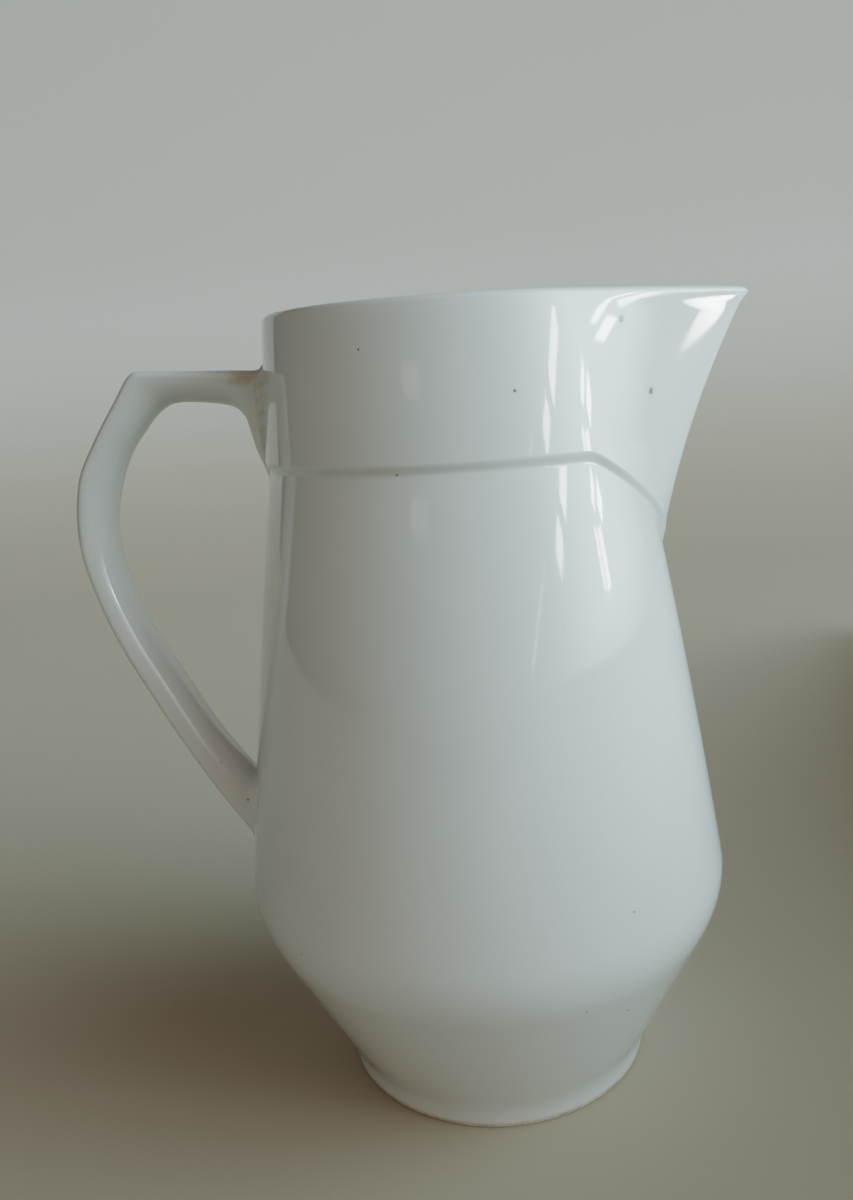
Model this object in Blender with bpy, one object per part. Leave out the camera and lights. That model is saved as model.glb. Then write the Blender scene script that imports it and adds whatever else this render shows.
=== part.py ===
"""Large white porcelain water jug, as the cast pieces that a pottery joins with slip.

Metres, +Z up, standing on z = 0. The spout points to +X and the handle to -X. The origin is the middle of the
jug's outer box at its lowest level, so the jug's own axis stands a little to the +X side of it.
"""

import math

import bmesh
import bpy

# Heights, from the surface that the jug stands on.
RIM_Z = 0.240
STEP_Z = 0.198
NOSE_Z = 0.166
FOOT_RING_TOP = 0.004
FLOOR_TOP = 0.0095

# Radii of the round body and of the collar, on the outside.
FOOT_RADIUS = 0.0495
BODY_TOP_RADIUS = 0.0553
COLLAR_BOTTOM_RADIUS = 0.0568
RIM_RADIUS = 0.0532

# The belly: a lower and an upper taper that run into each other over a soft blend.
LOWER_TAPER = 0.504
LOWER_TAPER_AT_FOOT = 0.0485
UPPER_TAPER = 0.146
UPPER_BOW = 0.0019
BELLY_BLEND = 0.0056
FOOT_BLEND = 0.002

# The spout: two flat cheeks from the collar to a front edge, which is the spout's ridge.
SPOUT_REACH = 0.0900
NOSE_PROUD = 0.0010
RIDGE_STRAIGHT_SHARE = 0.53
RIDGE_ROUNDING = math.radians(1.5)
CHEEK_ANGLE = math.radians(50)
CHEEK_DROP = 0.028
NOSE_DIP = 0.004
CORNER_SOFTNESS = 0.05

# The collar sits one degree lower at the spout than at the handle.
COLLAR_FALL = math.tan(math.radians(1))
FALL_FROM_Z = 0.120

# The rim dips a little on both sides, between the handle and the spout.
RIM_DIP = 0.0007

# The wall, its lip, the inside corner of the floor, and the gap between pieces that touch.
WALL = 0.0040
LIP = 0.0012
FLOOR_FILLET = 0.009
GAP = 0.0003

# The foot ring.
FOOT_WIDTH = 0.0065
FOOT_EDGE = 0.0008

# The two slip joints: the thickness of the slip, how far it stands out round the strap, and their heights.
SLIP_THICKNESS = 0.0012
SLIP_PROUD = 0.0012
UPPER_JOINT = (0.200, 0.250)
LOWER_JOINT = (0.060, 0.140)

# The handle: a strap that runs level from the collar, turns a corner, bows out and runs down to the belly.
HANDLE_REACH = 0.1158
HANDLE_WIDTH = 0.020
HANDLE_OUTER = [
    (-0.0480, 0.2255),
    (-0.0580, 0.2264),
    (-0.0640, 0.2269),
    (-0.0700, 0.2273),
    (-0.0800, 0.2280),
    (-0.0885, 0.2287),
    (-0.0932, 0.2280),
    (-0.0985, 0.2212),
    (-0.1065, 0.2100),
    (-0.1130, 0.1985),
    (-0.1158, 0.1830),
    (-0.1146, 0.1690),
    (-0.1090, 0.1488),
    (-0.0990, 0.1260),
    (-0.0870, 0.1022),
    (-0.0755, 0.0830),
    (-0.0640, 0.0670),
]
HANDLE_INNER = [
    (-0.0530, 0.1965),
    (-0.0588, 0.2035),
    (-0.0604, 0.2105),
    (-0.0645, 0.2160),
    (-0.0740, 0.2183),
    (-0.0830, 0.2188),
    (-0.0885, 0.2163),
    (-0.0930, 0.2120),
    (-0.0995, 0.2040),
    (-0.1043, 0.1930),
    (-0.1065, 0.1815),
    (-0.1056, 0.1670),
    (-0.1005, 0.1505),
    (-0.0925, 0.1335),
    (-0.0820, 0.1133),
    (-0.0710, 0.0975),
    (-0.0600, 0.0880),
]
OUTER_BEVEL = 0.0025
INNER_ROUNDING = 0.0040

# How finely the round forms are made. BODY_LEVELS are the heights of the rings below the shoulder.
BODY_LEVELS = [0.0075, 0.012, 0.022, 0.036, 0.049, 0.055, 0.060, 0.065, 0.071, 0.085, 0.105, 0.130]
SHOULDER_Z = 0.150
SHOULDER_SHARES = [0.0, 0.4, 0.75, 1.0]
COLLAR_OUTER_SHARES = [0.0, 0.15, 0.35, 0.55, 0.75, 0.9, 0.975]
COLLAR_INNER_SHARES = [0.96, 0.75, 0.5, 0.25, 0.0]
ENVELOPE_LEVELS = [0.040, 0.055, 0.065, 0.080, 0.100, 0.125, 0.150, 0.175]
ENVELOPE_SEGMENTS = 144
ENVELOPE_RISE = 0.010
SEGMENTS = 72
SPOUT_CROWDING = 0.35
STATIONS_PER_SPAN = 3

# The jug's axis, which puts the origin midway between the handle and the spout's tip.
AXIS_X = (HANDLE_REACH - SPOUT_REACH) / 2


def smooth_min(a, b, width):
    overlap = max(width - abs(a - b), 0.0) / width
    return min(a, b) - overlap * overlap * width / 4


def smooth_step(value, start, end):
    share = min(max((value - start) / (end - start), 0.0), 1.0)
    return share * share * (3 - 2 * share)


def body_radius(z):
    """Outer radius of the round body."""
    lower = LOWER_TAPER_AT_FOOT + LOWER_TAPER * (z - FOOT_RING_TOP)
    lower = -smooth_min(-lower, -FOOT_RADIUS, FOOT_BLEND)
    share = min(max((STEP_Z - z) / STEP_Z, 0.0), 1.0)
    upper = BODY_TOP_RADIUS + UPPER_TAPER * (STEP_Z - z) + UPPER_BOW * 4 * share * (1 - share)
    return smooth_min(lower, upper, BELLY_BLEND)


def collar_radius(z):
    """Outer radius of the collar, and of the spout's underside below the step."""
    if z < STEP_Z:
        return body_radius(z) + COLLAR_BOTTOM_RADIUS - BODY_TOP_RADIUS
    share = (z - STEP_Z) / (RIM_Z - STEP_Z)
    return COLLAR_BOTTOM_RADIUS + (RIM_RADIUS - COLLAR_BOTTOM_RADIUS) * share


def ridge_reach(z):
    """How far the spout's front edge is from the jug's axis."""
    nose = body_radius(NOSE_Z) + NOSE_PROUD
    share = min(max((z - NOSE_Z) / (RIM_Z - NOSE_Z), 0.0), 1.0)
    bend = RIDGE_STRAIGHT_SHARE * share + (1 - RIDGE_STRAIGHT_SHARE) * share * share
    return nose + (SPOUT_REACH - nose) * bend


def spout_radius(angle, z):
    """Outer radius of the collar and spout in one direction: a circle with two tangents that meet in a ridge."""
    circle = collar_radius(z)
    reach = ridge_reach(z)
    if reach <= circle:
        return circle
    tangent = math.acos(circle / reach) + RIDGE_ROUNDING
    turned = tangent - math.hypot(angle, RIDGE_ROUNDING)
    return circle / math.cos(max(turned, 0.0))


def border_z(angle):
    """Height of the edge between the body and the collar with its spout: level, then falling along the cheeks."""
    share = 1 - abs(angle) / CHEEK_ANGLE
    share = (share + math.hypot(share, CORNER_SOFTNESS)) / 2
    return STEP_Z - CHEEK_DROP * share - NOSE_DIP * share**8


def placed(radius, angle, z):
    """A point of the jug in the part's frame, with the fall of the collar towards the spout and the rim's dip."""
    x = radius * math.cos(angle)
    fall = x * COLLAR_FALL * smooth_step(z, FALL_FROM_Z, STEP_Z)
    dip = RIM_DIP * math.sin(angle) ** 2 * smooth_step(z, STEP_Z, RIM_Z)
    return (x + AXIS_X, radius * math.sin(angle), z - fall - dip)


def angles():
    """Directions round the jug, closer together at the spout."""
    made = []
    for index in range(SEGMENTS):
        turn = 2 * index / SEGMENTS - 1
        made.append(math.pi * ((1 - SPOUT_CROWDING) * turn + SPOUT_CROWDING * turn**3))
    return made


def glaze():
    material = bpy.data.materials.new("glazed_porcelain")
    material.use_nodes = True
    shader = material.node_tree.nodes["Principled BSDF"]
    shader.inputs["Base Color"].default_value = (0.74, 0.77, 0.77, 1)
    shader.inputs["Roughness"].default_value = 0.08
    shader.inputs["Coat Weight"].default_value = 0.6
    return material


def bare_porcelain():
    material = bpy.data.materials.new("bare_porcelain")
    material.use_nodes = True
    shader = material.node_tree.nodes["Principled BSDF"]
    shader.inputs["Base Color"].default_value = (0.66, 0.61, 0.53, 1)
    shader.inputs["Roughness"].default_value = 0.7
    return material


def add_object(name, mesh_builder, material):
    """Makes a named object from a bmesh, with its faces out and its round faces smooth."""
    bmesh.ops.recalc_face_normals(mesh_builder, faces=mesh_builder.faces)
    mesh = bpy.data.meshes.new(name)
    mesh_builder.to_mesh(mesh)
    mesh_builder.free()
    mesh.shade_smooth()
    mesh.set_sharp_from_angle(angle=math.radians(40))
    if material:
        mesh.materials.append(material)
    made = bpy.data.objects.new(name, mesh)
    bpy.context.scene.collection.objects.link(made)
    return made


def join_rings(mesh_builder, rings):
    """Faces between each ring of points and the next. A ring of one point closes the surface there."""
    rows = [[mesh_builder.verts.new(point) for point in ring] for ring in rings]
    for row, following in zip(rows, rows[1:]):
        count = max(len(row), len(following))
        for index in range(count):
            after = (index + 1) % count
            corners = [row[index % len(row)], row[after % len(row)]]
            corners += [following[after % len(following)], following[index % len(following)]]
            mesh_builder.faces.new(list(dict.fromkeys(corners)))
    return rows


def close_loop(mesh_builder, rows):
    """Faces between the last ring and the first, for a wall that is open at both ends."""
    last, first = rows[-1], rows[0]
    for index in range(len(last)):
        after = (index + 1) % len(last)
        mesh_builder.faces.new([last[index], last[after], first[after], first[index]])


def wall_slant(radius_at, z):
    """How much longer than the wall's thickness its level cut is, where the wall leans."""
    step = 0.0005
    lean = (radius_at(z + step) - radius_at(z - step)) / (2 * step)
    return math.hypot(1, lean)


def make_body_shell(material):
    """The round belly with its floor, cut at the top along the collar's lower edge."""
    around = angles()
    base = FOOT_RING_TOP + GAP
    rings = [[(AXIS_X, 0, base)]]
    for z in [base] + BODY_LEVELS:
        rings.append([placed(body_radius(z), angle, z) for angle in around])

    def top_ring(share, thickness):
        ring = []
        for angle in around:
            z = SHOULDER_Z + share * (border_z(angle) - GAP / 2 - SHOULDER_Z)
            ring.append(placed(body_radius(z) - thickness * wall_slant(body_radius, z), angle, z))
        return ring

    rings += [top_ring(share, 0.0) for share in SHOULDER_SHARES]
    rings += [top_ring(share, WALL) for share in reversed(SHOULDER_SHARES)]
    floor_edge = FLOOR_TOP + FLOOR_FILLET
    for z in reversed([level for level in BODY_LEVELS if level > floor_edge]):
        radius = body_radius(z) - WALL * wall_slant(body_radius, z)
        rings.append([placed(radius, angle, z) for angle in around])
    edge_radius = body_radius(floor_edge) - WALL * wall_slant(body_radius, floor_edge)
    for turn in (0, 30, 60, 90):
        inward = FLOOR_FILLET * (1 - math.cos(math.radians(turn)))
        z = floor_edge - FLOOR_FILLET * math.sin(math.radians(turn))
        rings.append([placed(edge_radius - inward, angle, z) for angle in around])
    rings.append([(AXIS_X, 0, FLOOR_TOP)])
    shell = bmesh.new()
    join_rings(shell, rings)
    return add_object("body_shell", shell, material)


def make_collar_with_spout(material):
    """The upright band round the mouth, drawn out at the front into the spout."""
    around = angles()
    outer = [(share, 0.0) for share in COLLAR_OUTER_SHARES]
    lip = [(1.0, LIP), (1.0, WALL - LIP)]
    inner = [(share, WALL) for share in COLLAR_INNER_SHARES]
    rings = []
    for share, thickness in outer + lip + inner:
        ring = []
        for angle in around:
            bottom = border_z(angle) + GAP / 2
            z = bottom + share * (RIM_Z - bottom)
            radius = spout_radius(angle, z) * (1 - thickness / collar_radius(z))
            ring.append(placed(radius, angle, z))
        rings.append(ring)
    shell = bmesh.new()
    close_loop(shell, join_rings(shell, rings))
    return add_object("collar_with_spout", shell, material)


def make_foot_ring(material):
    """The ground foot that the jug stands on, flat below and free of glaze."""
    inner_radius = FOOT_RADIUS - FOOT_WIDTH
    section = [
        (inner_radius + FOOT_EDGE, 0.0),
        (FOOT_RADIUS - FOOT_EDGE, 0.0),
        (FOOT_RADIUS, FOOT_EDGE),
        (FOOT_RADIUS, FOOT_RING_TOP),
        (inner_radius, FOOT_RING_TOP),
        (inner_radius, FOOT_EDGE),
    ]
    around = [math.tau * index / SEGMENTS for index in range(SEGMENTS)]
    ring = bmesh.new()
    rows = join_rings(ring, [[placed(radius, angle, z) for angle in around] for radius, z in section])
    close_loop(ring, rows)
    return add_object("foot_ring", ring, material)


def curve_through(knots):
    """A smooth line through the knots, as a Catmull-Rom spline."""
    ends = [knots[0]] + knots + [knots[-1]]
    points = []
    for first, start, end, last in zip(ends, ends[1:], ends[2:], ends[3:]):
        for step in range(STATIONS_PER_SPAN):
            t = step / STATIONS_PER_SPAN
            point = []
            for a, b, c, d in zip(first, start, end, last):
                point.append(b + t * (c - a + t * (2 * a - 5 * b + 4 * c - d + t * (3 * b - a - 3 * c + d))) / 2)
            points.append(point)
    return points + [list(knots[-1])]


def strap_section(outer, inner, width):
    """One cross-section of the strap: bevelled edges outside, rounded ones on the finger side."""
    across = width / 2
    length = math.dist(outer, inner)
    along_x, along_z = ((inner[0] - outer[0]) / length, (inner[1] - outer[1]) / length)
    half = [(0.0, across - OUTER_BEVEL), (OUTER_BEVEL, across)]
    half += [(length - INNER_ROUNDING, across)]
    for turn in (45, 90):
        side = across - INNER_ROUNDING * (1 - math.cos(math.radians(turn)))
        half.append((length - INNER_ROUNDING * (1 - math.sin(math.radians(turn))), side))
    outline = half + [(depth, -side) for depth, side in reversed(half)]
    return [(outer[0] + along_x * depth + AXIS_X, side, outer[1] + along_z * depth) for depth, side in outline]


def strap(extra):
    """The whole strap as a bmesh, running a little way into the body. extra widens it on every side."""
    sections = []
    for outer, inner in zip(curve_through(HANDLE_OUTER), curve_through(HANDLE_INNER)):
        length = math.dist(outer, inner)
        spread_x, spread_z = ((outer[0] - inner[0]) * extra / length, (outer[1] - inner[1]) * extra / length)
        wide_outer = (outer[0] + spread_x, outer[1] + spread_z)
        wide_inner = (inner[0] - spread_x, inner[1] - spread_z)
        sections.append(strap_section(wide_outer, wide_inner, HANDLE_WIDTH + 2 * extra))
    made = bmesh.new()
    rows = join_rings(made, sections)
    made.faces.new(rows[0])
    made.faces.new(list(reversed(rows[-1])))
    return made


def hide(helper):
    helper.hide_render = True
    helper.display_type = "WIRE"
    return helper


def make_envelope(name, clearance):
    """A solid cutter of the jug's round outside, with a clearance all round it."""
    around = [math.tau * index / ENVELOPE_SEGMENTS for index in range(ENVELOPE_SEGMENTS)]
    top = RIM_Z + ENVELOPE_RISE
    rings = [[(AXIS_X, 0, ENVELOPE_LEVELS[0])]]
    for z in ENVELOPE_LEVELS + [STEP_Z - GAP]:
        rings.append([placed(body_radius(z) + clearance, angle, z) for angle in around])
    for z in (STEP_Z - GAP, top):
        rings.append([placed(collar_radius(z) + clearance, angle, z) for angle in around])
    rings.append([(AXIS_X, 0, top)])
    solid = bmesh.new()
    join_rings(solid, rings)
    return hide(add_object(name, solid, None))


def make_keep_block(name, low, high):
    """A block round one end of the handle, from one height to another."""
    block = bmesh.new()
    bmesh.ops.create_cube(block, size=1)
    for vertex in block.verts:
        vertex.co.x = AXIS_X - HANDLE_REACH / 2 + vertex.co.x * HANDLE_REACH
        vertex.co.y *= 4 * HANDLE_WIDTH
        vertex.co.z = low if vertex.co.z < 0 else high
    return hide(add_object(name, block, None))


def cut(target, cutter, operation):
    modifier = target.modifiers.new(cutter.name, "BOOLEAN")
    modifier.operation = operation
    modifier.object = cutter


def make_handle(material, near_envelope):
    handle = add_object("handle", strap(0.0), material)
    cut(handle, near_envelope, "DIFFERENCE")


def make_slip_joint(name, material, heights, outside, inside):
    """The thin layer of slip that holds one end of the handle, a little wider than the strap."""
    joint = add_object(name, strap(SLIP_PROUD), material)
    cut(joint, make_keep_block(name + "_keep", *heights), "INTERSECT")
    cut(joint, outside, "INTERSECT")
    cut(joint, inside, "DIFFERENCE")


def main():
    for old in list(bpy.data.objects):
        bpy.data.objects.remove(old, do_unlink=True)
    glazed = glaze()
    bare = bare_porcelain()
    make_body_shell(glazed)
    make_collar_with_spout(glazed)
    make_foot_ring(bare)
    against_wall = make_envelope("cut_at_wall", GAP)
    slip_outside = make_envelope("cut_at_slip", GAP + SLIP_THICKNESS)
    handle_end = make_envelope("cut_at_handle", 2 * GAP + SLIP_THICKNESS)
    make_handle(glazed, handle_end)
    make_slip_joint("upper_slip_joint", glazed, UPPER_JOINT, slip_outside, against_wall)
    make_slip_joint("lower_slip_joint", glazed, LOWER_JOINT, slip_outside, against_wall)


main()
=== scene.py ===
"""The looks of the large porcelain water jug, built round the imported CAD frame.

The belly, collar and spout are one smooth glazed surface here, the handle runs into them with soft
fillets, and the ground foot is bare. Metres, +Z up, spout to +X, handle to -X.
"""

import math

import bmesh
import bpy
from mathutils import Matrix, Vector


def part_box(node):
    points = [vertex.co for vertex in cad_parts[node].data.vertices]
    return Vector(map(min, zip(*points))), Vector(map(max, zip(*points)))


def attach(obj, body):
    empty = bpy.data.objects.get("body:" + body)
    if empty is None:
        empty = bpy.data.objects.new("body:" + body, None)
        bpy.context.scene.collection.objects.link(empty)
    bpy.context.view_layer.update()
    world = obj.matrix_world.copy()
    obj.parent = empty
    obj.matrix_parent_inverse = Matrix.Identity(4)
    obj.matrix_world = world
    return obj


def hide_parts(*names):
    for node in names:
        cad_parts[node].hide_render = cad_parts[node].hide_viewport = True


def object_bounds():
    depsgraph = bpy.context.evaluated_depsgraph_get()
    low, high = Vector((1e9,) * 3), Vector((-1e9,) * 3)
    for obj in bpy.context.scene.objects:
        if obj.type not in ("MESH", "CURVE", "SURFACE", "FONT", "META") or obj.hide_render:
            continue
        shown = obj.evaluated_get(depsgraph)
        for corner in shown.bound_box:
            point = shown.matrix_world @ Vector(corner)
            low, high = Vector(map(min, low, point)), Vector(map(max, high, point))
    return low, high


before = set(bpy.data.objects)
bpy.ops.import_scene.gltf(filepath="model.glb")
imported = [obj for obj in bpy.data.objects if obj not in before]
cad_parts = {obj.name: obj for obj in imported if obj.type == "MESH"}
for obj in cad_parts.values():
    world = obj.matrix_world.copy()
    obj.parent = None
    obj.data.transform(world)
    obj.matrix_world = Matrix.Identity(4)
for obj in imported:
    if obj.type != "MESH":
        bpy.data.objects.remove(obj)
cad_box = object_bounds()

# What the frame says.
FOOT_LOW, FOOT_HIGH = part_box("foot_ring")
AXIS_X = (FOOT_LOW[0] + FOOT_HIGH[0]) / 2
FOOT_RADIUS = (FOOT_HIGH[0] - FOOT_LOW[0]) / 2
FOOT_RING_TOP = FOOT_HIGH[2]
COLLAR_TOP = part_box("collar_with_spout")[1][2]
SPOUT_REACH = cad_box[1][0] - AXIS_X

# The collar sits one degree lower at the spout than at the handle.
COLLAR_FALL = math.tan(math.radians(1))
FALL_FROM_Z = 0.120

# The rim dips a little on both sides, between the handle and the spout.
RIM_DIP = 0.0007

# Radii and heights of the round forms.
RIM_RADIUS = 0.0532
COLLAR_BOTTOM_RADIUS = 0.0568
BODY_TOP_RADIUS = 0.0553
RIM_Z = COLLAR_TOP - RIM_RADIUS * COLLAR_FALL
STEP_Z = 0.198
NOSE_Z = 0.166

# The belly: a lower and an upper taper that run into each other over a soft blend.
LOWER_TAPER = 0.504
LOWER_TAPER_AT_FOOT = 0.0485
UPPER_TAPER = 0.146
UPPER_BOW = 0.0019
BELLY_BLEND = 0.0056
FOOT_BLEND = 0.002

# The spout: two flat cheeks that meet in a front edge.
NOSE_PROUD = 0.0010
RIDGE_STRAIGHT_SHARE = 0.53
RIDGE_ROUNDING = math.radians(1.5)
CHEEK_ANGLE = math.radians(50)
CHEEK_DROP = 0.028
NOSE_DIP = 0.004
CORNER_SOFTNESS = 0.05

# The wall, the lip, and the floor inside, which rises a little in the middle.
WALL = 0.0040
LIP_RADIUS = WALL * 0.46
FLOOR_TOP = 0.0095
FLOOR_FILLET = 0.012
FLOOR_CROWN = 0.0006

# The underside: the ground ring, the recess inside it, and where the glaze stops short of the ring.
FOOT_WIDTH = 0.0065
RECESS_Z = 0.0042
RECESS_SAG = 0.0004
RECESS_FILLET = 0.0015
BARE_TOP = 0.0011
GLAZE_EDGE = 0.0003
GROUND_EDGE = 0.0006
GROUND_INSET = 0.0002

# The soft step outside, below and above its line, and the gentler wave that it makes inside.
STEP_BELOW = 0.0022
STEP_ABOVE = 0.0008
WAVE_BELOW = 0.006
WAVE_ABOVE = 0.005

# The handle, in the jug's own plane: x from the jug's axis, then height.
HANDLE_OUTER = [
    (-0.0480, 0.2255),
    (-0.0580, 0.2264),
    (-0.0640, 0.2269),
    (-0.0700, 0.2273),
    (-0.0800, 0.2280),
    (-0.0885, 0.2287),
    (-0.0932, 0.2280),
    (-0.0985, 0.2212),
    (-0.1065, 0.2100),
    (-0.1130, 0.1985),
    (-0.1158, 0.1830),
    (-0.1146, 0.1690),
    (-0.1090, 0.1488),
    (-0.0990, 0.1260),
    (-0.0870, 0.1022),
    (-0.0755, 0.0830),
    (-0.0640, 0.0670),
]
HANDLE_INNER = [
    (-0.0530, 0.1850),
    (-0.0590, 0.2010),
    (-0.0604, 0.2105),
    (-0.0645, 0.2160),
    (-0.0740, 0.2183),
    (-0.0830, 0.2188),
    (-0.0885, 0.2163),
    (-0.0930, 0.2120),
    (-0.0995, 0.2040),
    (-0.1043, 0.1930),
    (-0.1065, 0.1815),
    (-0.1056, 0.1670),
    (-0.1005, 0.1505),
    (-0.0925, 0.1335),
    (-0.0820, 0.1133),
    (-0.0710, 0.0975),
    (-0.0600, 0.0880),
]
HANDLE_HALF_WIDTH = 0.0100
HANDLE_BEVEL = 0.0013
HANDLE_ARRIS = 0.0004
HANDLE_SQUARENESS = 0.8
HANDLE_FILLET = 0.0026
JOIN_OVERLAP = 0.0001

# How fine the meshes are: stations between two knots of the handle, points round the jug and how much
# they crowd at the spout, the height above which the jug's rings follow the step line, and how far they
# stay from it.
STATIONS_PER_SPAN = 10
AROUND = 224
SPOUT_CROWDING = 0.45
LEVEL_BELOW_Z = 0.150
FOOT_DETAIL_TOP = 0.0080
STEP_MARGIN = 0.0006

# Where the picture is taken from: distance from the jug's axis, height, and how the camera is turned.
CAMERA_DISTANCE = 0.2928
CAMERA_HEIGHT = 0.2175
CAMERA_PITCH = math.radians(-12.59)
CAMERA_YAW = math.radians(-2.39)
CAMERA_ROLL = math.radians(-4.87)
CAMERA_LENS_MM = 28.57
CAMERA_FILM_MM = 36

# Colours of the glaze, of the marks in it, of the painted shade in the handle's crease, and of the bare
# foot.
GLAZE_THIN = (0.765, 0.790, 0.780)
GLAZE_THICK = (0.735, 0.775, 0.775)
GLAZE_GRAIN = (0.66, 0.71, 0.72)
BODY_SHOWING = (0.74, 0.68, 0.57)
SPECK_CORE = (0.030, 0.022, 0.018)
SPECK_HALO = (0.40, 0.33, 0.24)
# Brown of the tea smear, also used for the painted shade in the handle's crease.
STAIN_AND_SHADE_BROWN = (0.36, 0.23, 0.13)
BARE_DARK = (0.50, 0.45, 0.37)
BARE_LIGHT = (0.68, 0.63, 0.54)
BARE_DIRT = (0.22, 0.17, 0.12)

# How fine each pattern in the glaze is, in repeats per metre.
CLOUD_SCALE = 28.0
GRAIN_SCALE = 900.0
EDGE_SCALE = 90.0
RAGGED_SCALE = 2600.0
SCATTER_SCALE = 75.0
STAIN_SCALE = 420.0
# Patches of the painted shade in the handle's crease:
CREASE_SHADE_SCALE = 260.0
HAZE_SCALE = 55.0
WAVE_SCALE = 34.0
PEEL_SCALE = 420.0
PINHOLE_SCALE = 190.0

# How far the surface rises in the throwing waves, in the orange peel, and at specks and pinholes.
WAVE_RISE = 0.00016
PEEL_RISE = 0.0000035
MARK_RISE = 0.00006

# How far the thin line along the rim and the foot wanders, and how ragged a speck's edge is.
EDGE_WANDER = 0.0012
SPECK_RAGGED = 0.0003

# Iron specks on the jug: degrees round from the spout (the camera's side is negative), height, radius.
JUG_SPECKS = [
    (-35.0, 0.2316, 0.00115),
    (-22.6, 0.2122, 0.00110),
    (-113.6, 0.2279, 0.00030),
    (-73.2, 0.2152, 0.00042),
    (-105.3, 0.1963, 0.00028),
    (-59.2, 0.0778, 0.00030),
    (-70.7, 0.0518, 0.00028),
    (-58.0, 0.0442, 0.00045),
    (-163.7, 0.1440, 0.00025),
    (48.0, 0.1870, 0.00055),
    (124.0, 0.1120, 0.00030),
    (86.0, 0.0660, 0.00035),
    (158.0, 0.2190, 0.00028),
]

# Iron specks on the handle: x from the jug's axis, y, height, radius.
HANDLE_SPECKS = [(-0.0819, -0.0087, 0.1058, 0.00030), (-0.0746, -0.0092, 0.0928, 0.00040)]

# The tea-brown smear where the handle's bar meets the collar: its place, how it is stretched, its reach.
STAIN_PLACE = (AXIS_X - 0.0580, -0.0095, 0.2243)
STAIN_STRETCH = (0.45, 0.5, 1.3)
STAIN_CORE = 0.0014
STAIN_REACH = 0.0052
STAIN_WANDER = 0.0028

# The painted shade in the crease under the bar: how far from the jug's axis it ends, and where it starts
# going up.
CREASE_SHADE_RADIUS = 0.0570
CREASE_SHADE_FADED_RADIUS = 0.0582
CREASE_SHADE_FROM_Z = 0.195
CREASE_SHADE_FULL_Z = 0.205

# The stage: its colours where it lies flat and where it stands up (the lighter wall partly painted light),
# its edges, and its low board.
FLOOR_COLOR = (0.47, 0.395, 0.30)
WALL_COLOR_WITH_PAINTED_LIGHT = (0.84, 0.82, 0.79)
WALL_COLOR_FROM_Z = 0.40
STAGE_LEFT = -1.60
STAGE_RIGHT = 1.60
STAGE_FRONT = -1.20
WALL_Y = 1.25
WALL_CURVE = 0.45
WALL_HEIGHT = 1.10
BOARD_X = 0.36
BOARD_OUTLINE = [(-0.70, 0.0), (0.44, 0.0), (0.44, 0.02), (0.06, 0.13), (-0.70, 0.13)]

# Soft light from all round: azimuth, elevation and sharpness of each lobe, and its colour. It fades out
# between these two heights of its direction, so that the room below the floor's edge is dark.
ROOM_LIGHT = [
    (83, 10, 8, (7.6, 11.9, 12.6)),
    (40, 30, 5, (0.50, 0.12, 0.12)),
    (0, 20, 5, (0.20, 0.26, 0.13)),
    (-50, 20, 4, (0.33, 0.34, 0.35)),
    (-90, 10, 2, (0.05, 0.04, 0.02)),
]
ROOM_DARK_BELOW = -0.12
ROOM_LIT_ABOVE = 0.02

# The panes of the window and what else shines in the glaze, all at one distance from the collar: name,
# azimuth, elevation, tilt, length, width and brightness.
WINDOW_COLOR = (0.93, 0.97, 1.0)
WINDOW_DISTANCE = 1.2
WINDOW_PANES = [
    ("pane_upper_thin", 82.0, 7.0, -62, 0.09, 0.026, 60),
    ("pane_upper_wide", 85.5, 5.6, -62, 0.08, 0.044, 60),
    ("pane_lower_thin", 78.3, 2.0, 0, 0.095, 0.030, 46),
    ("pane_lower_wide", 81.2, 1.6, 0, 0.095, 0.060, 46),
    ("pane_narrow_low", 53.8, 6.0, -62, 0.10, 0.050, 36),
    ("pane_narrow_high", 63.5, 10.4, -62, 0.20, 0.055, 38),
    ("curtain_edge", 37.0, 2.0, -62, 0.34, 0.010, 8),
    ("far_doorway", -21.0, 11.0, 90, 0.20, 0.05, 1.2),
]

# The sunlit sill, which shows only on the spout's cheek: a narrow beam from below, on the right.
SILL = ("bright_sill", 93.0, -17.0, 0, 0.080, 0.08, 0.7)
SILL_TARGET = (AXIS_X + 0.078, -0.014, 0.230)
SILL_DISTANCE = 0.45
SILL_BEAM = 16


def smooth_min(a, b, width):
    overlap = max(width - abs(a - b), 0.0) / width
    return min(a, b) - overlap * overlap * width / 4


def smooth_step(value, start, end):
    share = min(max((value - start) / (end - start), 0.0), 1.0)
    return share * share * (3 - 2 * share)


def body_radius(z):
    """Outer radius of the round body."""
    lower = LOWER_TAPER_AT_FOOT + LOWER_TAPER * (z - FOOT_RING_TOP)
    lower = -smooth_min(-lower, -FOOT_RADIUS, FOOT_BLEND)
    share = min(max((STEP_Z - z) / STEP_Z, 0.0), 1.0)
    upper = BODY_TOP_RADIUS + UPPER_TAPER * (STEP_Z - z) + UPPER_BOW * 4 * share * (1 - share)
    return smooth_min(lower, upper, BELLY_BLEND)


def collar_radius(z):
    if z < STEP_Z:
        return body_radius(z) + COLLAR_BOTTOM_RADIUS - BODY_TOP_RADIUS
    share = (z - STEP_Z) / (RIM_Z - STEP_Z)
    return COLLAR_BOTTOM_RADIUS + (RIM_RADIUS - COLLAR_BOTTOM_RADIUS) * share


def ridge_reach(z):
    """How far the spout's front edge is from the jug's axis."""
    nose = body_radius(NOSE_Z) + NOSE_PROUD
    share = min(max((z - NOSE_Z) / (RIM_Z - NOSE_Z), 0.0), 1.0)
    bend = RIDGE_STRAIGHT_SHARE * share + (1 - RIDGE_STRAIGHT_SHARE) * share * share
    return nose + (SPOUT_REACH - nose) * bend


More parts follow.
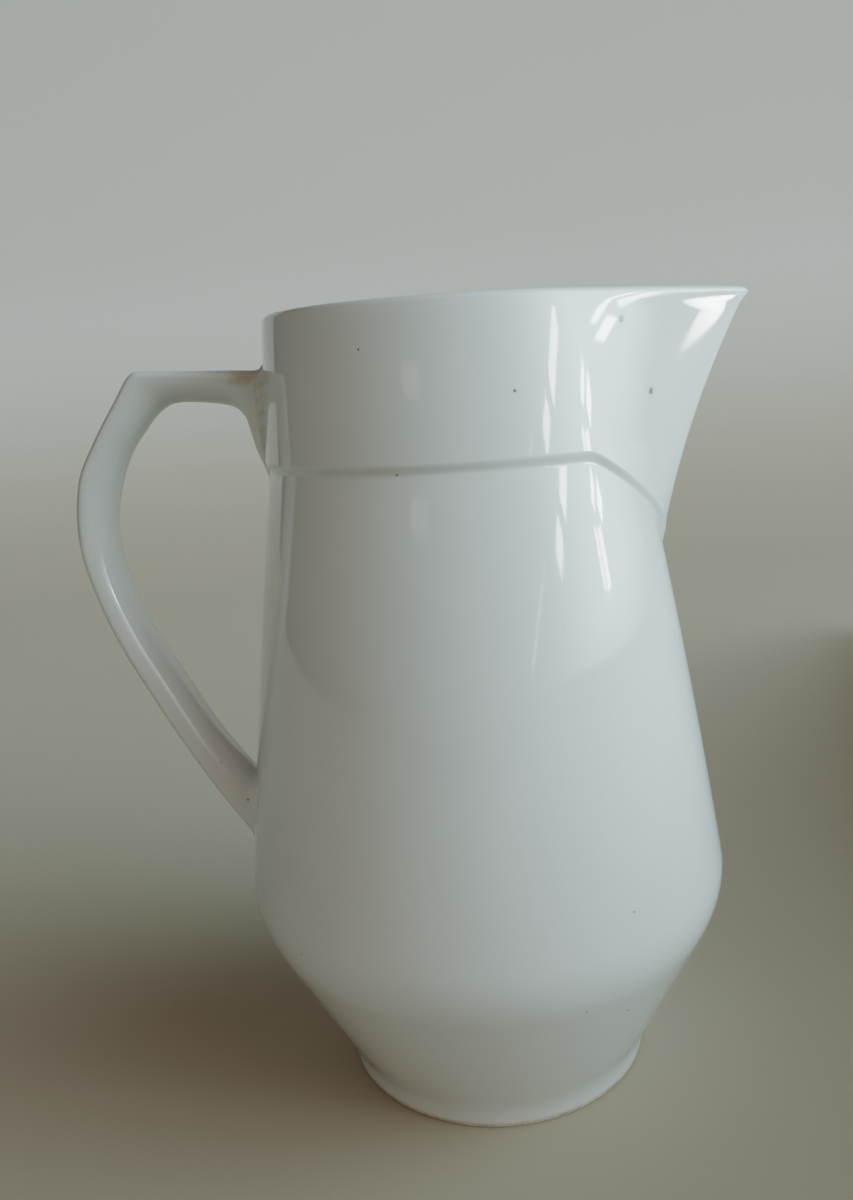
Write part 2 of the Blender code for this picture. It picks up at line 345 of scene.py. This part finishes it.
def spout_radius(angle, z):
    """Outer radius of collar and spout in one direction: a circle, and two tangents that meet in front."""
    circle = collar_radius(z)
    reach = ridge_reach(z)
    if reach <= circle:
        return circle
    tangent = math.acos(circle / reach) + RIDGE_ROUNDING
    turned = tangent - math.hypot(angle, RIDGE_ROUNDING)
    return circle / math.cos(max(turned, 0.0))


def border_z(angle):
    """Height of the step: level round the back, then falling along the cheeks to the nose."""
    share = 1 - abs(angle) / CHEEK_ANGLE
    share = (share + math.hypot(share, CORNER_SOFTNESS)) / 2
    return STEP_Z - CHEEK_DROP * share - NOSE_DIP * share**8


def outer_radius(angle, z):
    """The whole outside, with the soft step between the body and the collar."""
    border = border_z(angle)
    share = smooth_step(z, border - STEP_BELOW, border + STEP_ABOVE)
    if share == 0:
        return body_radius(z)
    return body_radius(z) + (spout_radius(angle, z) - body_radius(z)) * share


def inner_radius(angle, z):
    """The inside, a wall's thickness in, where the step shows only as a gentle wave."""
    border = border_z(angle)
    nudge = 0.0005
    slant = (body_radius(z + nudge) - body_radius(z - nudge)) / (2 * nudge)
    body = body_radius(z) - WALL * math.hypot(1, slant)
    collar = spout_radius(angle, z) * (1 - WALL / collar_radius(z))
    return body + (collar - body) * smooth_step(z, border - WAVE_BELOW, border + WAVE_ABOVE)


def fall_at(x, z):
    return x * COLLAR_FALL * smooth_step(z, FALL_FROM_Z, STEP_Z)


def placed(radius, angle, z):
    """A point of the jug in the frame, with the fall of the collar towards the spout."""
    x = radius * math.cos(angle)
    dip = RIM_DIP * math.sin(angle) ** 2 * smooth_step(z, STEP_Z, RIM_Z)
    return (x + AXIS_X, radius * math.sin(angle), z - fall_at(x, z) - dip)


def directions():
    """Directions round the jug, closer together at the spout."""
    turns = [2 * index / AROUND - 1 for index in range(AROUND)]
    return [math.pi * ((1 - SPOUT_CROWDING) * turn + SPOUT_CROWDING * turn**3) for turn in turns]


def spread(start, end, count):
    return [start + (end - start) * index / count for index in range(count)]


def new_object(name, builder, material):
    bmesh.ops.recalc_face_normals(builder, faces=builder.faces)
    mesh = bpy.data.meshes.new(name)
    builder.to_mesh(mesh)
    builder.free()
    mesh.shade_smooth()
    mesh.materials.append(material)
    made = bpy.data.objects.new(name, mesh)
    bpy.context.scene.collection.objects.link(made)
    return made


def join_rings(builder, rings, closed=False):
    """Faces between each ring of points and the next. A ring of one point closes the surface there."""
    rows = [[builder.verts.new(point) for point in ring] for ring in rings]
    pairs = list(zip(rows, rows[1:]))
    if closed:
        pairs.append((rows[-1], rows[0]))
    for row, following in pairs:
        count = max(len(row), len(following))
        for index in range(count):
            after = (index + 1) % count
            corners = [row[index % len(row)], row[after % len(row)]]
            corners += [following[after % len(following)], following[index % len(following)]]
            builder.faces.new(list(dict.fromkeys(corners)))
    return rows


def round_rings(profile):
    """A level ring for each radius and height of a profile."""
    return [[placed(radius, angle, z) for angle in directions()] for radius, z in profile]


def level_rings(radius_at, heights):
    """A ring at each height, of the radius that the shape has there in each direction."""
    return [[placed(radius_at(angle, z), angle, z) for angle in directions()] for z in heights]


def sloped_rings(radius_at, low_at, high_at, shares):
    """Rings between two lines round the jug that rise and fall, at shares of the way up."""
    rings = []
    for share in shares:
        ring = []
        for angle in directions():
            z = low_at(angle) + (high_at(angle) - low_at(angle)) * share
            ring.append(placed(radius_at(angle, z), angle, z))
        rings.append(ring)
    return rings


def level_line(angle):
    return LEVEL_BELOW_Z


def below_step(angle):
    return border_z(angle) - STEP_BELOW - STEP_MARGIN


def above_step(angle):
    return border_z(angle) + STEP_ABOVE + STEP_MARGIN


def lip_base(angle):
    return RIM_Z - LIP_RADIUS


def recess_profile():
    """Radii and heights from the middle of the recess out to where the glaze meets the ground ring."""
    foot_inside = FOOT_RADIUS - FOOT_WIDTH
    edge_z = RECESS_Z - RECESS_SAG
    profile = [(0.012, RECESS_Z), (0.030, RECESS_Z - RECESS_SAG / 2), (foot_inside - RECESS_FILLET, edge_z)]
    for turn in (30, 60, 90):
        inward = RECESS_FILLET * (1 - math.sin(math.radians(turn)))
        drop = RECESS_FILLET * (1 - math.cos(math.radians(turn)))
        profile.append((foot_inside - inward, edge_z - drop))
    profile += [(foot_inside, BARE_TOP + GLAZE_EDGE), (foot_inside + GLAZE_EDGE, BARE_TOP)]
    profile.append((FOOT_RADIUS - GLAZE_EDGE, BARE_TOP))
    profile.append((FOOT_RADIUS - GLAZE_EDGE / 3, BARE_TOP + GLAZE_EDGE / 3))
    return profile


def lip_rings():
    """Over the rounded lip, from the outside to the inside."""
    rings = []
    steps = 14
    for index in range(steps + 1):
        turn = math.pi * index / steps
        outward = 0.5 + 0.5 * math.cos(turn)
        z = RIM_Z - LIP_RADIUS + LIP_RADIUS * math.sin(turn)
        ring = []
        for angle in directions():
            outside = spout_radius(angle, RIM_Z)
            inside = inner_radius(angle, RIM_Z)
            ring.append(placed(inside + (outside - inside) * outward, angle, z))
        rings.append(ring)
    return rings


def floor_profile():
    """Radii and heights of the inside's bottom: the fillet, then in to the middle of the floor."""
    edge_z = FLOOR_TOP + FLOOR_FILLET
    edge_radius = inner_radius(math.pi, edge_z)
    profile = []
    for turn in spread(0, 90, 9):
        inward = FLOOR_FILLET * (1 - math.cos(math.radians(turn)))
        profile.append((edge_radius - inward, edge_z - FLOOR_FILLET * math.sin(math.radians(turn))))
    for share in (1.0, 0.75, 0.5, 0.25, 0.08):
        z = FLOOR_TOP + FLOOR_CROWN * (1 - share * share)
        profile.append(((edge_radius - FLOOR_FILLET) * share, z))
    return profile


def make_jug(material):
    """Belly, collar and spout as one skin: up the outside, over the lip and down the inside."""
    heights = spread(BARE_TOP + GLAZE_EDGE + 0.0001, FOOT_DETAIL_TOP, 8)
    heights += spread(FOOT_DETAIL_TOP, LEVEL_BELOW_Z, 66)
    rings = [[(AXIS_X, 0, RECESS_Z)]]
    rings += round_rings(recess_profile())
    rings += level_rings(outer_radius, heights)
    rings += sloped_rings(outer_radius, level_line, below_step, spread(0, 1, 20))
    rings += sloped_rings(outer_radius, below_step, above_step, spread(0, 1, 14))
    rings += sloped_rings(outer_radius, above_step, lip_base, spread(0, 1, 26))
    rings += lip_rings()
    rings += sloped_rings(inner_radius, lip_base, above_step, spread(0.03, 1, 24))
    rings += sloped_rings(inner_radius, above_step, below_step, spread(0, 1, 8))
    rings += sloped_rings(inner_radius, below_step, level_line, spread(0, 1, 16))
    rings += level_rings(inner_radius, spread(LEVEL_BELOW_Z, FLOOR_TOP + FLOOR_FILLET, 46))
    rings += round_rings(floor_profile())
    rings.append([(AXIS_X, 0, FLOOR_TOP + FLOOR_CROWN)])
    skin = bmesh.new()
    join_rings(skin, rings)
    return new_object("jug_glazed_body", skin, material)


def make_foot(material):
    """The ground ring that the jug stands on, bare of glaze, with its edges worn round."""
    inside = FOOT_RADIUS - FOOT_WIDTH + GROUND_INSET
    outside = FOOT_RADIUS - GROUND_INSET
    section = []
    for radius, start in ((inside + GROUND_EDGE, 180), (outside - GROUND_EDGE, 270)):
        for turn in range(0, 91, 15):
            bent = math.radians(start + turn)
            z = GROUND_EDGE + GROUND_EDGE * math.sin(bent)
            section.append((radius + GROUND_EDGE * math.cos(bent), z))
    section += [(outside - GROUND_INSET, BARE_TOP), (inside + GROUND_INSET, BARE_TOP)]
    ring = bmesh.new()
    join_rings(ring, round_rings(section), closed=True)
    return new_object("ground_foot", ring, material)


def spline(a, b, c, d, t):
    """One coordinate of a Catmull-Rom spline between b and c."""
    return b + t * (c - a + t * (2 * a - 5 * b + 4 * c - d + t * (3 * b - a - 3 * c + d))) / 2


def curve_through(knots):
    """A smooth line through the knots."""
    ends = [knots[0]] + knots + [knots[-1]]
    points = []
    for four in zip(ends, ends[1:], ends[2:], ends[3:]):
        for t in spread(0, 1, STATIONS_PER_SPAN):
            points.append([spline(*values, t) for values in zip(*four)])
    return points + [list(knots[-1])]


def strap_half(length):
    """Half a section of the strap, from the middle of its back to its finger side, as (depth, side)."""
    wide, bevel, arris = HANDLE_HALF_WIDTH, HANDLE_BEVEL, HANDLE_ARRIS
    half = [(0.0, side) for side in (0.002, 0.004, 0.006)]
    half += [(0.0, wide - bevel - arris * 1.25), (arris * 0.2, wide - bevel), (arris, wide - bevel + arris)]
    half.append((bevel / 2, wide - bevel / 2))
    half += [(bevel - arris, wide - arris), (bevel, wide - arris * 0.15)]
    for turn in range(6, 88, 6):
        bent = math.radians(turn)
        side = wide * math.cos(bent) ** HANDLE_SQUARENESS
        half.append((bevel + (length - bevel) * math.sin(bent), side))
    half.append((length, arris * 2))
    return half


def gap_to_body(point):
    """Distance from the jug's outside to a point, measured level."""
    x, y, z = point[0] - AXIS_X, point[1], point[2]
    height = z + fall_at(x, z)
    return math.hypot(x, y) - outer_radius(math.atan2(y, x), height)


def hug(point, outward):
    """Spreads the strap where it nears the jug, so that it meets the wall in a fillet."""
    gap = gap_to_body(point) + JOIN_OVERLAP
    if gap >= HANDLE_FILLET:
        return point
    reach = HANDLE_FILLET - max(gap, 0.0)
    moved = point + outward * (HANDLE_FILLET - math.sqrt(HANDLE_FILLET**2 - reach**2))
    radial = Vector((moved.x - AXIS_X, moved.y, 0)).normalized()
    return moved - radial * (gap_to_body(moved) + JOIN_OVERLAP - gap)


def make_handle(material):
    """The strap: bevelled along its back, with a crisp arris, and rounded on the finger side."""
    sections = []
    for outer, inner in zip(curve_through(HANDLE_OUTER), curve_through(HANDLE_INNER)):
        length = math.dist(outer, inner)
        along = Vector((inner[0] - outer[0], 0, inner[1] - outer[1])) / length
        start = Vector((outer[0] + AXIS_X, 0, outer[1]))
        half = strap_half(length)
        outline = half + [(depth, -side) for depth, side in reversed(half)]
        points = [start + along * depth + Vector((0, side, 0)) for depth, side in outline]
        section = []
        for index, point in enumerate(points):
            edge = points[(index + 1) % len(points)] - points[index - 1]
            outward = edge.cross(along.cross(Vector((0, 1, 0)))).normalized()
            middle = start + along * length / 2
            if outward.dot(point - middle) < 0:
                outward = -outward
            section.append(hug(point, outward))
        sections.append(section)
    strap = bmesh.new()
    rows = join_rings(strap, sections)
    strap.faces.new(rows[0])
    strap.faces.new(list(reversed(rows[-1])))
    return new_object("handle_strap", strap, material)


def new_material(name):
    material = bpy.data.materials.new(name)
    material.use_nodes = True
    tree = material.node_tree
    return material, tree, tree.nodes["Principled BSDF"]


def add_node(tree, kind, **inputs):
    """A shader node with its inputs set to values or to other nodes' outputs. _ stands for a space."""
    node = tree.nodes.new(kind)
    for name, value in inputs.items():
        socket = node.inputs[name.replace("_", " ")]
        if isinstance(value, bpy.types.NodeSocket):
            tree.links.new(value, socket)
        else:
            socket.default_value = value
    return node


def calculate(tree, operation, *operands, kind="ShaderNodeMath"):
    """A maths node and its result, which is the second output where a vector node gives a number."""
    node = tree.nodes.new(kind)
    node.operation = operation
    for socket, value in zip(node.inputs, operands):
        if isinstance(value, bpy.types.NodeSocket):
            tree.links.new(value, socket)
        else:
            socket.default_value = value
    gives_number = kind == "ShaderNodeVectorMath" and operation in ("LENGTH", "DOT_PRODUCT")
    return node.outputs[1 if gives_number else 0]


def calculate_vector(tree, operation, *operands):
    return calculate(tree, operation, *operands, kind="ShaderNodeVectorMath")


def mix_colors(tree, share, low, high):
    """From the low colour to the high one. Either can be a node's output."""
    node = tree.nodes.new("ShaderNodeMix")
    node.data_type = "RGBA"
    for socket, value in ((node.inputs[0], share), (node.inputs[6], low), (node.inputs[7], high)):
        if isinstance(value, bpy.types.NodeSocket):
            tree.links.new(value, socket)
        elif isinstance(value, float):
            socket.default_value = value
        else:
            socket.default_value = (*value, 1)
    return node.outputs[2]


def noise(tree, place, scale, detail=2.0, roughness=0.5):
    inputs = {"Vector": place, "Scale": scale, "Detail": detail, "Roughness": roughness}
    return add_node(tree, "ShaderNodeTexNoise", **inputs).outputs[0]


def fade(tree, value, start, end, low=0.0, high=1.0):
    """Runs smoothly from low to high as the value runs from start to end. start may be the larger one."""
    inputs = {"Value": value, "From_Min": start, "From_Max": end, "To_Min": low, "To_Max": high}
    node = add_node(tree, "ShaderNodeMapRange", **inputs)
    node.interpolation_type = "SMOOTHSTEP"
    return node.outputs[0]


def bump(tree, height, distance, strength=1.0):
    return add_node(tree, "ShaderNodeBump", Height=height, Distance=distance, Strength=strength)


def distance_to(tree, place, center, stretch=(1, 1, 1)):
    """Distance of the surface from a point, in metres, longer along an axis where stretch is larger."""
    offset = calculate_vector(tree, "SUBTRACT", place, center)
    scaled = calculate_vector(tree, "MULTIPLY", offset, stretch)
    return calculate_vector(tree, "LENGTH", scaled)


def speck_places():
    """Centre and radius of each iron speck that was fired into the glaze."""
    places = []
    for turn, z, radius in JUG_SPECKS:
        angle = math.radians(turn)
        places.append((placed(outer_radius(angle, z), angle, z), radius))
    for x, y, z, radius in HANDLE_SPECKS:
        places.append(((AXIS_X + x, y, z), radius))
    return places


def glaze_tint(tree, place):
    """Glaze a touch thicker in some places than in others, and a fine grain of bubbles in it."""
    cloud = fade(tree, noise(tree, place, CLOUD_SCALE, 3.0), 0.30, 0.70)
    color = mix_colors(tree, cloud, GLAZE_THIN, GLAZE_THICK)
    grain = fade(tree, noise(tree, place, GRAIN_SCALE, 1.0), 0.35, 0.75, 0.0, 0.10)
    return mix_colors(tree, grain, color, GLAZE_GRAIN)


def thin_edges(tree, place, parts):
    """How far the body shows at the rim and just above the ground foot, where the glaze runs thin."""
    wander = noise(tree, place, EDGE_SCALE)
    level = calculate(tree, "MULTIPLY_ADD", parts["X"], COLLAR_FALL, parts["Z"])
    rim_height = calculate(tree, "MULTIPLY_ADD", wander, EDGE_WANDER, level)
    foot_height = calculate(tree, "MULTIPLY_ADD", wander, EDGE_WANDER, parts["Z"])
    rim = fade(tree, rim_height, RIM_Z + 0.0003, RIM_Z + 0.0012, 0.0, 0.55)
    foot = fade(tree, foot_height, 0.0034, 0.0016, 0.0, 0.60)
    return calculate(tree, "MAXIMUM", rim, foot)


def iron_specks(tree, place):
    """The dark cores of the listed specks, and the pale brown rims round them."""
    ragged = calculate(tree, "MULTIPLY", noise(tree, place, RAGGED_SCALE), SPECK_RAGGED)
    core, halo = 0.0, 0.0
    for center, radius in speck_places():
        distance = calculate(tree, "ADD", distance_to(tree, place, center), ragged)
        dark = fade(tree, distance, radius + 0.00022, radius * 0.6 + 0.00010)
        pale = fade(tree, distance, radius * 2.6, radius * 1.1)
        core = calculate(tree, "MAXIMUM", core, dark)
        halo = calculate(tree, "MAXIMUM", halo, pale)
    return core, halo


def scattered_specks(tree, place):
    """Tiny specks at random, in about half of the cells of a coarse pattern."""
    cells = add_node(tree, "ShaderNodeTexVoronoi", Vector=place, Scale=SCATTER_SCALE)
    chance = add_node(tree, "ShaderNodeSeparateXYZ", Vector=cells.outputs["Color"]).outputs["X"]
    reach = fade(tree, chance, 0.55, 1.0, 0.0, 0.018)
    return calculate(tree, "LESS_THAN", cells.outputs["Distance"], reach)


def tea_smear(tree, place):
    """The smear on the handle's bar by the collar."""
    distance = distance_to(tree, place, STAIN_PLACE, STAIN_STRETCH)
    patches = noise(tree, place, STAIN_SCALE, 3.0)
    distance = calculate(tree, "MULTIPLY_ADD", patches, STAIN_WANDER, distance)
    return fade(tree, distance, STAIN_REACH, STAIN_CORE, 0.0, 0.62)


def crease_painted_shade(tree, place, parts):
    """Painted shade in the crease where the upper end of the handle meets the collar."""
    across = add_node(tree, "ShaderNodeCombineXYZ", X=parts["X"], Y=parts["Y"]).outputs[0]
    near = fade(tree, distance_to(tree, across, (AXIS_X, 0, 0)), CREASE_SHADE_FADED_RADIUS, CREASE_SHADE_RADIUS)
    high = fade(tree, parts["Z"], CREASE_SHADE_FROM_Z, CREASE_SHADE_FULL_Z)
    patchy = fade(tree, noise(tree, place, CREASE_SHADE_SCALE, 3.0), 0.35, 0.65, 0.25, 1.0)
    faint = calculate(tree, "MULTIPLY", patchy, 0.5)
    return calculate(tree, "MULTIPLY", calculate(tree, "MULTIPLY", near, high), faint)


def add_gloss(tree, shader, place, core):
    """Mirror-like, a little duller in patches and over the specks."""
    haze = fade(tree, noise(tree, place, HAZE_SCALE, 4.0), 0.35, 0.75, 0.045, 0.095)
    tree.links.new(calculate(tree, "MULTIPLY_ADD", core, 0.25, haze), shader.inputs["Roughness"])
    shader.inputs["IOR"].default_value = 1.52
    shader.inputs["Coat Weight"].default_value = 0.35
    shader.inputs["Coat Roughness"].default_value = 0.02


def add_relief(tree, shader, place, core):
    """Slow waves from throwing and turning, a fine orange peel, pinholes, and specks that stand proud."""
    waves = bump(tree, noise(tree, place, WAVE_SCALE, 1.0), WAVE_RISE)
    peel = bump(tree, noise(tree, place, PEEL_SCALE, 1.0), PEEL_RISE)
    cells = add_node(tree, "ShaderNodeTexVoronoi", Vector=place, Scale=PINHOLE_SCALE)
    chance = add_node(tree, "ShaderNodeSeparateXYZ", Vector=cells.outputs["Color"]).outputs["Y"]
    hole = fade(tree, cells.outputs["Distance"], 0.075, 0.02)
    hole = calculate(tree, "MULTIPLY", hole, calculate(tree, "GREATER_THAN", chance, 0.80))
    marks = bump(tree, calculate(tree, "SUBTRACT", core, hole), MARK_RISE, 0.7)
    tree.links.new(waves.outputs[0], peel.inputs["Normal"])
    tree.links.new(peel.outputs[0], marks.inputs["Normal"])
    tree.links.new(marks.outputs[0], shader.inputs["Normal"])
    tree.links.new(waves.outputs[0], shader.inputs["Coat Normal"])


def glaze_material(name, on_handle=False):
    """Clear, slightly blue glaze over white porcelain, with the marks that firing and use leave, and on the
    handle painted shade in the crease under the bar.
    """
    material, tree, shader = new_material(name)
    place = add_node(tree, "ShaderNodeTexCoord").outputs["Object"]
    parts = add_node(tree, "ShaderNodeSeparateXYZ", Vector=place).outputs
    core, halo = iron_specks(tree, place)
    tiny = scattered_specks(tree, place)
    stain_and_painted_shade = tea_smear(tree, place)
    # On the handle, painted shade in the crease under the bar joins the tea smear, in the same brown.
    if on_handle:
        stain_and_painted_shade = calculate(tree, "MAXIMUM", stain_and_painted_shade, crease_painted_shade(tree, place, parts))
    color = mix_colors(tree, thin_edges(tree, place, parts), glaze_tint(tree, place), BODY_SHOWING)
    color = mix_colors(tree, calculate(tree, "MULTIPLY", halo, 0.22), color, SPECK_HALO)
    color = mix_colors(tree, calculate(tree, "MULTIPLY", tiny, 0.75), color, SPECK_CORE)
    color = mix_colors(tree, calculate(tree, "MULTIPLY", core, 0.92), color, SPECK_CORE)
    # The tea smear and, on the handle, the painted crease shade.
    color = mix_colors(tree, stain_and_painted_shade, color, STAIN_AND_SHADE_BROWN)
    tree.links.new(color, shader.inputs["Base Color"])
    add_gloss(tree, shader, place, core)
    add_relief(tree, shader, place, core)
    return material


def bare_material():
    """Unglazed porcelain, ground flat: matt, warm, sandy, with dirt rubbed into it."""
    material, tree, shader = new_material("bare_porcelain")
    place = add_node(tree, "ShaderNodeTexCoord").outputs["Object"]
    sand = noise(tree, place, 1500.0, 3.0, 0.6)
    color = mix_colors(tree, fade(tree, sand, 0.3, 0.7), BARE_DARK, BARE_LIGHT)
    dirt = fade(tree, noise(tree, place, 120.0, 4.0, 0.65), 0.50, 0.72, 0.0, 0.55)
    color = mix_colors(tree, dirt, color, BARE_DIRT)
    tree.links.new(color, shader.inputs["Base Color"])
    tree.links.new(fade(tree, sand, 0.3, 0.7, 0.85, 0.65), shader.inputs["Roughness"])
    shader.inputs["Specular IOR Level"].default_value = 0.3
    tree.links.new(bump(tree, sand, 0.00008, 0.6).outputs[0], shader.inputs["Normal"])
    return material


def stage_material():
    """Plain matt paper, warmer and darker where it lies flat, lighter up the wall; the lighter wall is
    partly painted light.
    """
    material, tree, shader = new_material("pale_stage")
    place = add_node(tree, "ShaderNodeNewGeometry").outputs["Position"]
    height = add_node(tree, "ShaderNodeSeparateXYZ", Vector=place).outputs["Z"]
    # Darker and warmer low down, lighter up the wall: partly the paper's own colour, partly painted light.
    paper = mix_colors(tree, fade(tree, height, 0.0, WALL_COLOR_FROM_Z), FLOOR_COLOR, WALL_COLOR_WITH_PAINTED_LIGHT)
    tree.links.new(paper, shader.inputs["Base Color"])
    shader.inputs["Roughness"].default_value = 0.95
    shader.inputs["Specular IOR Level"].default_value = 0.2
    return material


def make_stage():
    """A pale floor that curves up into a plain wall far behind, and a low board on it, out of the
    picture on the right, that keeps the lowest light off the foot."""
    profile = [(STAGE_FRONT, 0.0)]
    for turn in range(0, 91, 5):
        bent = math.radians(turn)
        profile.append((WALL_Y - WALL_CURVE * (1 - math.sin(bent)), WALL_CURVE * (1 - math.cos(bent))))
    profile.append((WALL_Y, WALL_HEIGHT))
    sheet = bmesh.new()
    left = [sheet.verts.new((STAGE_LEFT, y, z)) for y, z in profile]
    right = [sheet.verts.new((STAGE_RIGHT, y, z)) for y, z in profile]
    for index in range(len(profile) - 1):
        sheet.faces.new([left[index], right[index], right[index + 1], left[index + 1]])
    sheet.faces.new([sheet.verts.new((BOARD_X, y, z)) for y, z in BOARD_OUTLINE])
    return new_object("stage_floor", sheet, stage_material())


def heading(azimuth, elevation):
    """The direction of an azimuth, which turns from the camera's side to the right, and an elevation."""
    turn, rise = math.radians(azimuth), math.radians(elevation)
    return Vector((math.sin(turn) * math.cos(rise), -math.cos(turn) * math.cos(rise), math.sin(rise)))


def add_softbox(name, azimuth, elevation, tilt, length, width, brightness, target, distance, beam=180):
    """A soft box turned to its target. Its long side is upright where the tilt is 0."""
    data = bpy.data.lights.new(name, "AREA")
    data.shape = "RECTANGLE"
    data.size = width
    data.size_y = length
    data.energy = brightness * width * length * math.pi
    data.color = WINDOW_COLOR
    data.spread = math.radians(beam)
    lamp = bpy.data.objects.new(name, data)
    away = heading(azimuth, elevation)
    facing = (-away).to_track_quat("-Z", "Y").to_matrix()
    turned = facing @ Matrix.Rotation(math.radians(tilt), 3, "Z")
    lamp.matrix_world = Matrix.Translation(Vector(target) + away * distance) @ turned.to_4x4()
    bpy.context.scene.collection.objects.link(lamp)


def make_world():
    """A room whose walls are brighter towards some sides, as a sum of soft lobes."""
    world = bpy.data.worlds.new("room")
    world.use_nodes = True
    tree = world.node_tree
    direction = tree.nodes.new("ShaderNodeTexCoord").outputs["Generated"]
    total = (0, 0, 0)
    for azimuth, elevation, sharpness, color in ROOM_LIGHT:
        facing = calculate_vector(tree, "DOT_PRODUCT", direction, heading(azimuth, elevation))
        ahead = calculate(tree, "MAXIMUM", facing, 0.0001)
        lobe = calculate(tree, "POWER", ahead, sharpness)
        total = calculate_vector(tree, "MULTIPLY_ADD", lobe, color, total)
    height = add_node(tree, "ShaderNodeSeparateXYZ", Vector=direction).outputs["Z"]
    above = fade(tree, height, ROOM_DARK_BELOW, ROOM_LIT_ABOVE)
    background = tree.nodes["Background"]
    tree.links.new(total, background.inputs["Color"])
    tree.links.new(above, background.inputs["Strength"])
    bpy.context.scene.world = world


def make_lights():
    for pane in WINDOW_PANES:
        add_softbox(*pane, target=(AXIS_X, 0, STEP_Z), distance=WINDOW_DISTANCE)
    add_softbox(*SILL, target=SILL_TARGET, distance=SILL_DISTANCE, beam=SILL_BEAM)
    make_world()


def make_camera():
    data = bpy.data.cameras.new("camera")
    data.sensor_fit = "VERTICAL"
    data.sensor_height = CAMERA_FILM_MM
    data.lens = CAMERA_LENS_MM
    camera = bpy.data.objects.new("camera", data)
    pitch, yaw, roll = CAMERA_PITCH, CAMERA_YAW, CAMERA_ROLL
    forward = Vector((math.sin(yaw) * math.cos(pitch), math.cos(yaw) * math.cos(pitch), math.sin(pitch)))
    level = forward.cross(Vector((0, 0, 1))).normalized()
    upright = level.cross(forward)
    right = math.cos(roll) * level + math.sin(roll) * upright
    up = -math.sin(roll) * level + math.cos(roll) * upright
    turned = Matrix((right, up, -forward)).transposed().to_4x4()
    camera.matrix_world = Matrix.Translation((AXIS_X, -CAMERA_DISTANCE, CAMERA_HEIGHT)) @ turned
    bpy.context.scene.collection.objects.link(camera)
    bpy.context.scene.camera = camera


make_camera()
make_lights()
make_stage()

jug = make_jug(glaze_material("glazed_porcelain"))
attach(jug, "root")
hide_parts("body_shell", "collar_with_spout")

handle = make_handle(glaze_material("glazed_porcelain_handle", on_handle=True))
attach(handle, "root")
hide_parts("handle", "upper_slip_joint", "lower_slip_joint")

foot = make_foot(bare_material())
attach(foot, "root")
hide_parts("foot_ring")
